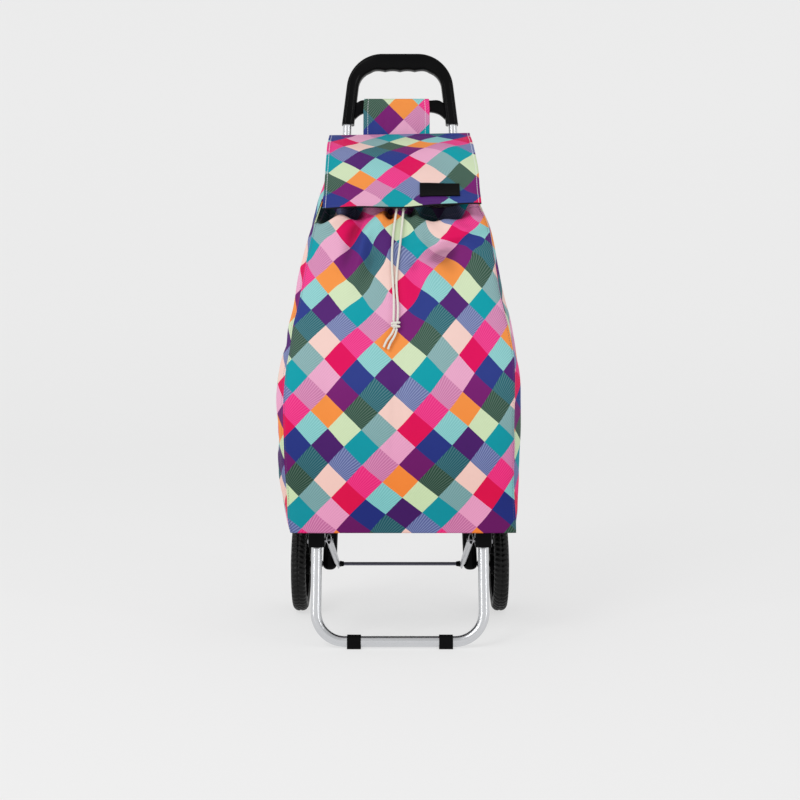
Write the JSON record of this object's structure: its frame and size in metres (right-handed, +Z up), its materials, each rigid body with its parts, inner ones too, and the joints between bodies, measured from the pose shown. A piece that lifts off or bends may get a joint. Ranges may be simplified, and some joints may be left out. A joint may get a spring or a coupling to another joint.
{
  "type": "shopping trolley",
  "caption": "Two-wheeled shopping trolley: leaning aluminium frame with loop handle, soft fabric bag with flap and drawcord, folding U stand.",
  "frame": {"origin": "on the floor under the middle of the trolley's box", "axes": "+Z up, the front of the bag faces -Y, +X to the right of a viewer who looks at the front"},
  "size_m": [0.3764, 0.36, 0.9603],
  "materials": {
    "aluminium": "drawn tube, clear anodised, satin",
    "steel": "dark zinc plated",
    "black_plastic": "moulded, fine satin grain",
    "tyre": "matt rubber with a light tread",
    "rubber": "matt rubber",
    "bag_fabric": "woven polyester with a diamond check in sixteen colours",
    "webbing": "black woven tape",
    "board": "stiff plastic sheet",
    "label": "bare black woven label",
    "cord": "braided cord, off-white"
  },
  "bodies": {
    "frame": {"main_tube_left": "aluminium", "main_tube_right": "aluminium", "cross_tube_low": "aluminium", "cross_tube_high": "aluminium", "base_rail_left": "aluminium", "base_rail_right": "aluminium", "axle_bearing_left": "black_plastic", "axle_bearing_right": "black_plastic", "front_joint_left": "black_plastic", "front_joint_right": "black_plastic", "stand_pin_left": "steel", "stand_pin_right": "steel", "axle": "steel", "axle_collars": "black_plastic", "axle_spacers": "black_plastic", "axle_nuts": "steel", "handle": "black_plastic", "handle_bridge": "black_plastic", "handle_screws": "steel", "bag_front": "bag_fabric", "bag_back": "bag_fabric", "bag_side_left": "bag_fabric", "bag_side_right": "bag_fabric", "bag_base": "bag_fabric", "base_board": "board", "bag_loops": "webbing", "bag_tab": "bag_fabric", "eyelets": "steel", "drawcord_left": "cord", "drawcord_right": "cord", "drawcord_tail_left": "cord", "drawcord_tail_right": "cord", "drawcord_knot": "cord"},
    "stand": {"stand_tube": "aluminium", "stand_plug_left": "black_plastic", "stand_plug_right": "black_plastic", "stand_foot_left": "rubber", "stand_foot_right": "rubber"},
    "flap": {"flap_panel": "bag_fabric", "flap_label": "label"},
    "wheel_left": {"wheel_rim_left": "black_plastic", "wheel_tyre_left": "tyre", "wheel_bush_left": "black_plastic", "hub_cap_left": "black_plastic"},
    "wheel_right": {"wheel_rim_right": "black_plastic", "wheel_tyre_right": "tyre", "wheel_bush_right": "black_plastic", "hub_cap_right": "black_plastic"}
  },
  "joints": [
    {"name": "wheel_left_spin", "type": "hinge", "parent": "frame", "child": "wheel_left", "pos_m": [-0.1707, 0.1, 0.08], "axis": [1, 0, 0], "continuous": true},
    {"name": "wheel_right_spin", "type": "hinge", "parent": "frame", "child": "wheel_right", "pos_m": [0.1707, 0.1, 0.08], "axis": [1, 0, 0], "continuous": true},
    {"name": "stand_fold", "type": "hinge", "parent": "frame", "child": "stand", "pos_m": [0, -0.128, 0.1585], "axis": [1, 0, 0], "range_deg": [0, 76]},
    {"name": "flap_open", "type": "hinge", "parent": "frame", "child": "flap", "pos_m": [0, 0.1205, 0.815], "axis": [-1, 0, 0], "range_deg": [0, 100]}
  ]
}
